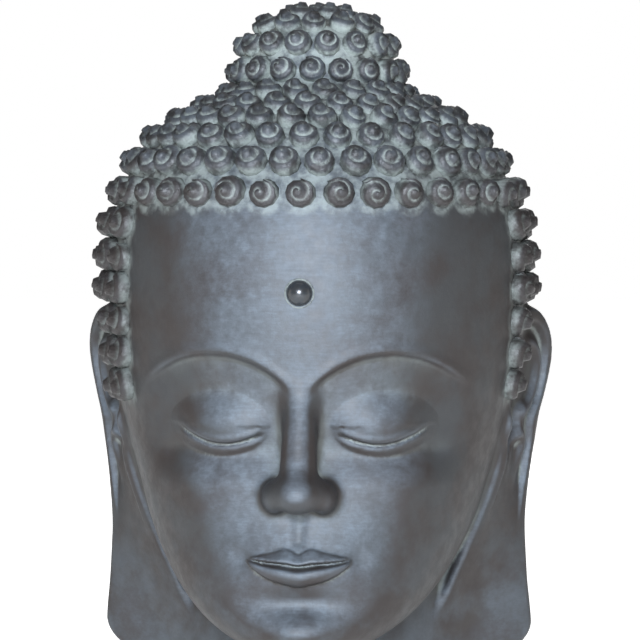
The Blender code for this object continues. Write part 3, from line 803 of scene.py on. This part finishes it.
def makeCurls(values, seats, normals, finish):
    shell = snailShell(values)
    curls = meshPiece("curls", seats, [])
    halfHeight, foremost = values["frontRow"]
    inFront = (np.abs(seats[:, 2] - firstRowLevel * scale[2]) < halfHeight) & (seats[:, 1] < foremost)
    share = curlShare(seats[:, 2] / scale[2])
    setAttribute(curls.data, "outward", normals)
    setAttribute(curls.data, "widthShare", np.where(inFront, 1.0, values["fuller"]) * share)
    setAttribute(curls.data, "riseShare", share)
    settings = {
        "Curl": shell,
        "Curl width": values["diameter"],
        "Curl rise": values["rise"],
        "Size spread": values["sizeSpread"],
        "Turn spread": values["turnSpread"],
        "Tilt spread": values["tiltSpread"],
        "Seed": values["seed"],
        "Finish": finish,
    }
    tree = curlTree(settings, values["tiltSeeds"], values["tintSeed"])
    scatter = curls.modifiers.new("Curls", "NODES")
    scatter.node_group = tree
    for item in tree.interface.items_tree:
        if item.name in settings:
            scatter[item.identifier] = settings[item.name]
    plainMesh(curls)
    bpy.data.objects.remove(shell, do_unlink=True)
    print("curls:", len(seats), "shells,", len(curls.data.polygons), "faces")
    return curls


# Bead on the forehead: a polished dome in a thin raised ring
beadValues = {
    "diameter": 0.026,
    "rise": 0.0090,
    "sides": 40,
    "dome": 0.93,  # radius of the dome, as a share of the bead's
    "domeCut": 0.12,  # share of the dome's ball that lies below the skin
    "domeAngles": (0.16, 1.45, 8),  # of the first and last row from the middle, and the number of rows
    "grooveDepth": 0.0006,
    "ringRise": 0.0012,
    "foot": 0.006,  # runs on this far under the skin
    "ringShine": (0.0, 0.2, 0.35, 0.1, 0.0),  # how rubbed each row of the ring is
}


def makeBead(values, finish):
    seat = np.array([0.0, -230.0, beadLevel])
    for _ in range(6):
        seat[1] += bareHead(*seat[:, None])[0]
    radius, rise, cut = values["diameter"] / 2, values["rise"], values["domeCut"]
    angles = np.linspace(*values["domeAngles"])
    dome = [(math.sin(t) * values["dome"], (math.cos(t) - cut) / (1 - cut) * rise) for t in angles]
    ringRise = values["ringRise"]
    ring = [
        (0.95, -values["grooveDepth"]),
        (0.98, 0.8 * ringRise),
        (1.02, ringRise),
        (1.07, 0.3 * ringRise),
        (1.10, -values["foot"]),
    ]
    sides = values["sides"]
    turn = np.arange(sides) * 2 * math.pi / sides
    points = [np.array([[0.0, -rise, 0.0]])]
    for share, out in dome + ring:
        around = (share * radius * np.cos(turn), np.full(sides, -out), share * radius * np.sin(turn))
        points.append(np.stack(around, axis=1))
    points = np.vstack(points) + seat * scale
    faces = [(0, 1 + i, 1 + (i + 1) % sides) for i in range(sides)]
    rings = len(dome + ring)
    for r in range(rings - 1):
        a, b = 1 + r * sides, 1 + (r + 1) * sides
        for i in range(sides):
            j = (i + 1) % sides
            faces.append((a + i, b + i, b + j, a + j))
    faces.append(tuple(range(1 + (rings - 1) * sides, 1 + rings * sides))[::-1])
    bead = meshPiece("bead", points, faces)
    turnFacesOut(bead.data)
    worn = np.r_[np.ones(1 + len(dome) * sides), np.repeat(values["ringShine"], sides)]
    setAttribute(bead.data, "worn", worn)
    bead.data.materials.append(finish)
    print("bead:", len(bead.data.polygons), "faces")
    return bead


# Finishes: pigmented fiberclay, moulded, rubbed dark on what stands out and left dusty in the hollows, with a
# painted highlight on what faces the front light and painted shade on the lower curls
finishValues = {
    "umber": "#221c1a",  # warm dark grey of the sides
    "slate": "#272829",
    "washRubAndHighlight": "#5f6973",  # blue-grey wash and painted highlight on what faces the front light, also on rubbed edges
    "patina": "#959d98",  # grey-green dust in the hollows
    "curlDark": "#1e1f21",
    "curlGrey": "#4a5056",
    "beadDark": "#24282c",
    "mottle": 0.060,  # metres across a patch of colour
    "cloud": 0.014,
    "blotch": 0.0055,
    "streak": (0.030, 0.0022),  # length and width of a brush mark
    "grain": 0.0014,  # coarser than the real grit, so that it shows
    "speck": 0.004,
    "beadCloud": 0.006,
    "beadSpeck": 0.0015,
    "wipedAndHighlightedFrom": (0.0, -0.94, 0.34),  # the wash and painted highlight lie on what faces this way, towards the front light
    "washAndHighlight": 0.76,  # how far the wash and painted highlight hide the clay
    "lobeWashAndHighlight": 0.34,
    "lobeLevels": (0.20, 0.10),  # the wash and painted highlight on lobes and neck grow from the first height down to the second
    "creaseDust": 0.42,
    "hollowDust": 0.16,
    "edgeRub": 0.22,
    "skinDustLevels": (0.44, 0.62),  # dust at the foot of the hair grows from the first height to the second
    "curlDustLevels": (0.46, 0.60),
    "lowCurlShadeLevels": (0.58, 0.49),  # painted shade: curls are darker from the first height down to the second
    "lowDust": 0.42,  # share of the dust below those heights
    # how strong the painted shade on the lower curls is
    "lowCurlShade": 0.85,
    "curlTint": 0.35,
    "skinRough": (0.50, 0.62),
    "curlRough": (0.42, 0.56),
    "beadRough": 0.24,
}


def linear(code):
    parts = [int(code[i:i + 2], 16) / 255 for i in (1, 3, 5)]
    return tuple(p / 12.92 if p <= 0.04045 else ((p + 0.055) / 1.055) ** 2.4 for p in parts) + (1.0,)


def mixed(tree, factor, first, second):
    return addNode(tree, "ShaderNodeMix", {0: factor, 6: first, 7: second}, data_type="RGBA").outputs[2]


# A value between two limits, spread from start to end. Noise lies round 0.5 and seldom leaves 0.3 to 0.7
def ranged(tree, value, low, high, start=0.0, end=1.0):
    limits = {"Value": value, "From Min": low, "From Max": high, "To Min": start, "To Max": end}
    return addNode(tree, "ShaderNodeMapRange", limits, interpolation_type="SMOOTHSTEP").outputs[0]


def product(tree, *factors):
    result = factors[0]
    for factor in factors[1:]:
        result = maths(tree, "MULTIPLY", result, factor, clamp=True)
    return result


def added(tree, first, second):
    return maths(tree, "ADD", first, second, clamp=True)


def larger(tree, first, second):
    return maths(tree, "MAXIMUM", first, second, clamp=True)


def attribute(tree, name):
    return addNode(tree, "ShaderNodeAttribute", attribute_name=name).outputs["Fac"]


def heightOf(tree, where):
    return addNode(tree, "ShaderNodeSeparateXYZ", {0: where}).outputs["Z"]


# Relief of several sizes, each laid over the one before: height, strength, and distance in metres
def relief(tree, *layers):
    under = {}
    for height, strength, distance in layers:
        links = {"Height": height, "Strength": strength, "Distance": distance}
        under = {"Normal": addNode(tree, "ShaderNodeBump", links | under).outputs[0]}
    return under["Normal"]


# A new finish, its tree, the place on the piece and a source of noise at that place
def startFinish(name):
    finish = bpy.data.materials.new(name)
    finish.use_nodes = True
    tree = finish.node_tree
    where = addNode(tree, "ShaderNodeTexCoord").outputs["Object"]

    def noise(size, detail, place=where):
        links = {"Vector": place, "Scale": 1 / size, "Detail": detail, "Roughness": 0.62}
        return addNode(tree, "ShaderNodeTexNoise", links).outputs[0]

    return finish, tree, where, noise


def endFinish(finish, colour, rough, normal):
    shader = finish.node_tree.nodes["Principled BSDF"]
    for socket, source in (("Base Color", colour), ("Roughness", rough), ("Normal", normal)):
        finish.node_tree.links.new(source, shader.inputs[socket])
    shader.inputs["IOR"].default_value = 1.5
    return finish


# Satin, mottled, with a blue-grey wash and painted highlight on what faces the front light, and dusty in
# every crease
def skinFinish(values):
    finish, tree, where, noise = startFinish("moulded fiberclay, wiped")
    mottle, cloud = noise(values["mottle"], 4), noise(values["cloud"], 5)
    blotch, grain = noise(values["blotch"], 4), noise(values["grain"], 2)
    length, width = values["streak"]
    brushed = addNode(tree, "ShaderNodeMapping", {"Vector": where, "Scale": (width / length, 1.0, 1.0)})
    streak = noise(width, 3, brushed.outputs[0])
    height = heightOf(tree, where)
    sides = {0: addNode(tree, "ShaderNodeNewGeometry").outputs["Normal"], 1: values["wipedAndHighlightedFrom"]}
    facing = addNode(tree, "ShaderNodeVectorMath", sides, operation="DOT_PRODUCT").outputs["Value"]
    base = mixed(tree, ranged(tree, mottle, 0.36, 0.64), linear(values["umber"]), linear(values["slate"]))

    patchy = product(tree, ranged(tree, cloud, 0.3, 0.7, 0.5), ranged(tree, mottle, 0.3, 0.6, 0.74))
    uneven = product(tree, patchy, ranged(tree, blotch, 0.36, 0.62, 0.78))
    # Partly a real blue-grey wash and partly a painted highlight, laid on what faces the front light
    wipedAndHighlighted = product(tree, ranged(tree, facing, 0.72, 1.0), uneven)
    # Wash and painted highlight on the fronts of the lobes and the neck, where they face the front light
    low = ranged(tree, height, *values["lobeLevels"], 0.0, values["lobeWashAndHighlight"])
    lobeWashAndHighlightShare = product(tree, low, ranged(tree, facing, 0.35, 0.80), ranged(tree, mottle, 0.34, 0.66))
    washAndHighlightMarks = product(tree, larger(tree, wipedAndHighlighted, lobeWashAndHighlightShare), ranged(tree, streak, 0.3, 0.7, 0.74))
    washAndHighlighted = mixed(tree, product(tree, washAndHighlightMarks, values["washAndHighlight"]), base, linear(values["washRubAndHighlight"]))

    crease = product(tree, attribute(tree, "crease"), values["creaseDust"])
    hollow = product(tree, ranged(tree, attribute(tree, "hollow"), 0.25, 1.0), values["hollowDust"])
    upwards = ranged(tree, height, *values["skinDustLevels"], values["lowDust"])
    above = product(tree, ranged(tree, cloud, 0.32, 0.62, 0.15, 0.70), upwards)
    foot = product(tree, attribute(tree, "hairFoot"), above)
    filled = larger(tree, larger(tree, crease, hollow), foot)
    dust = product(tree, filled, ranged(tree, cloud, 0.30, 0.62, 0.35))
    dusty = mixed(tree, dust, washAndHighlighted, linear(values["patina"]))
    rubAndShade = product(tree, attribute(tree, "edge"), values["edgeRub"])
    colour = mixed(tree, rubAndShade, dusty, linear(values["washRubAndHighlight"]))

    rough = added(tree, ranged(tree, cloud, 0.3, 0.7, *values["skinRough"]), product(tree, dust, 0.25))
    layers = ((cloud, 0.20, 0.0012), (blotch, 0.22, 0.0006), (streak, 0.08, 0.0005), (grain, 0.22, 0.0004))
    return endFinish(finish, colour, rough, relief(tree, *layers))


# Rubbed dark and smooth on the crests, dusty in the spiral and round the foot, with painted shade on the
# lower curls
def curlFinish(values):
    finish, tree, where, noise = startFinish("moulded fiberclay, curls")
    cloud, speck, grain = noise(values["cloud"], 5), noise(values["speck"], 3), noise(values["grain"], 2)
    height = heightOf(tree, where)
    grey = product(tree, ranged(tree, cloud, 0.35, 0.65), 0.8)
    base = mixed(tree, grey, linear(values["curlDark"]), linear(values["curlGrey"]))
    # Painted shade: the lower curls are darkened towards the warm dark grey
    rubAndShade = product(tree, ranged(tree, height, *values["lowCurlShadeLevels"]), values["lowCurlShade"])
    dark = larger(tree, product(tree, attribute(tree, "tint"), values["curlTint"]), rubAndShade)
    toned = mixed(tree, dark, base, linear(values["umber"]))

    specked = {0: speck, 1: 0.35, 2: attribute(tree, "worn")}
    broken = addNode(tree, "ShaderNodeMath", specked, operation="MULTIPLY_ADD").outputs[0]
    upwards = ranged(tree, height, *values["curlDustLevels"], values["lowDust"])
    thick = product(tree, ranged(tree, cloud, 0.36, 0.60, 0.25), upwards)
    dust = product(tree, ranged(tree, broken, 0.92, 0.36), thick)
    colour = mixed(tree, dust, toned, linear(values["patina"]))

    rough = added(tree, ranged(tree, speck, 0.3, 0.7, *values["curlRough"]), product(tree, dust, 0.3))
    return endFinish(finish, colour, rough, relief(tree, (speck, 0.6, 0.0016), (grain, 0.22, 0.0004)))


# The same clay rubbed to a gloss, with dust in the ring round it
def beadFinish(values):
    finish, tree, _, noise = startFinish("polished fiberclay, bead")
    cloud, speck = noise(values["beadCloud"], 4), noise(values["beadSpeck"], 2)
    base = mixed(tree, ranged(tree, cloud, 0.35, 0.65), linear(values["beadDark"]), linear(values["slate"]))
    unrubbed = ranged(tree, attribute(tree, "worn"), 0.6, 0.1)
    dust = product(tree, unrubbed, ranged(tree, cloud, 0.3, 0.6, 0.15, 0.60))
    colour = mixed(tree, dust, base, linear(values["patina"]))
    rough = added(tree, values["beadRough"], product(tree, dust, 0.35))
    return endFinish(finish, colour, rough, relief(tree, (speck, 0.1, 0.0003)))


# Studio: pale floor, one large soft light over the camera, softer ones beside it
cameraValues = {
    "azimuth": 4.3,
    "elevation": 3.0,
    "distance": 2.6,
    "field": 0.640,  # metres across the frame at the head
    "aim": (0.003, 0.0, 0.383),
}
lightValues = (  # name, place, size, watts, colour
    ("key", (0.02, -2.5, 0.90), (0.80, 0.65), 118, "#eaf3ff"),
    ("left", (-2.2, -0.5, 0.6), (1.0, 1.4), 6, "#fff8f0"),
    ("right", (2.2, -0.5, 0.6), (1.0, 1.4), 5, "#fff8f0"),
    ("top", (0.0, 0.3, 2.4), (1.4, 1.4), 8, "#ffffff"),
    ("back", (0.3, 2.4, 1.2), (1.2, 1.2), 14, "#ffffff"),
)
roomValues = {
    "floorHalf": 9.0,
    "floorHeight": -0.0005,  # just under the base, so that the two never share a plane
    "floorColour": "#f4f4f2",
    "floorRoughness": 0.9,
    "floorGlow": 0.85,
    "seen": 1.0,  # brightness of the room behind the head, for the camera
    "soft": 0.17,  # and for everything it lights
    "lightsAim": (0.0, 0.0, 0.38),
}


def makeCamera(values):
    azimuth, elevation = math.radians(values["azimuth"]), math.radians(values["elevation"])
    aim = Vector(values["aim"])
    across, forwards = math.sin(azimuth) * math.cos(elevation), math.cos(azimuth) * math.cos(elevation)
    toward = Vector((across, -forwards, math.sin(elevation)))
    lens = bpy.data.cameras.new("camera")
    lens.sensor_fit = "HORIZONTAL"
    lens.lens = lens.sensor_width * values["distance"] / values["field"]
    camera = bpy.data.objects.new("camera", lens)
    camera.location = aim + toward * values["distance"]
    camera.rotation_euler = (-toward).to_track_quat("-Z", "Y").to_euler()
    bpy.context.scene.collection.objects.link(camera)
    bpy.context.scene.camera = camera


def makeFloor(values):
    half, height = values["floorHalf"], values["floorHeight"]
    around = ((-half, -half), (half, -half), (half, half), (-half, half))
    floor = meshPiece("floor", np.array([(x, y, height) for x, y in around]), [(0, 1, 2, 3)])
    pale = bpy.data.materials.new("pale floor")
    pale.use_nodes = True
    shader = pale.node_tree.nodes["Principled BSDF"]
    shader.inputs["Base Color"].default_value = linear(values["floorColour"])
    shader.inputs["Roughness"].default_value = values["floorRoughness"]
    shader.inputs["Emission Color"].default_value = (1.0, 1.0, 1.0, 1.0)
    shader.inputs["Emission Strength"].default_value = values["floorGlow"]
    floor.data.materials.append(pale)


def makeLights(lights, aim):
    for name, place, size, power, colour in lights:
        lamp = bpy.data.lights.new(name, "AREA")
        lamp.shape = "RECTANGLE"
        lamp.size, lamp.size_y = size
        lamp.energy = power
        lamp.color = linear(colour)[:3]
        holder = bpy.data.objects.new(name, lamp)
        holder.location = place
        holder.rotation_euler = (Vector(aim) - Vector(place)).to_track_quat("-Z", "Y").to_euler()
        bpy.context.scene.collection.objects.link(holder)


def makeRoom(values):
    world = bpy.data.worlds.new("white room")
    world.use_nodes = True
    tree = world.node_tree
    white = (1.0, 1.0, 1.0, 1.0)
    seen = addNode(tree, "ShaderNodeBackground", {"Color": white, "Strength": values["seen"]}).outputs[0]
    soft = addNode(tree, "ShaderNodeBackground", {"Color": white, "Strength": values["soft"]}).outputs[0]
    straight = addNode(tree, "ShaderNodeLightPath").outputs["Is Camera Ray"]
    both = addNode(tree, "ShaderNodeMixShader", {0: straight, 1: soft, 2: seen}).outputs[0]
    tree.links.new(both, tree.nodes["World Output"].inputs["Surface"])
    bpy.context.scene.world = world
    bpy.context.scene.view_settings.view_transform = "Standard"


makeCamera(cameraValues)
makeFloor(roomValues)
makeLights(lightValues, roomValues["lightsAim"])
makeRoom(roomValues)
seats, normals = curlSeats()
seats = seats * scale
curls = makeCurls(curlValues, seats, normals, curlFinish(finishValues))
skin = makeSkin(skinValues, seats, skinFinish(finishValues))
bead = makeBead(beadValues, beadFinish(finishValues))
for piece in (skin, curls, bead):
    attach(piece, bodyName)
    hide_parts(solidName)
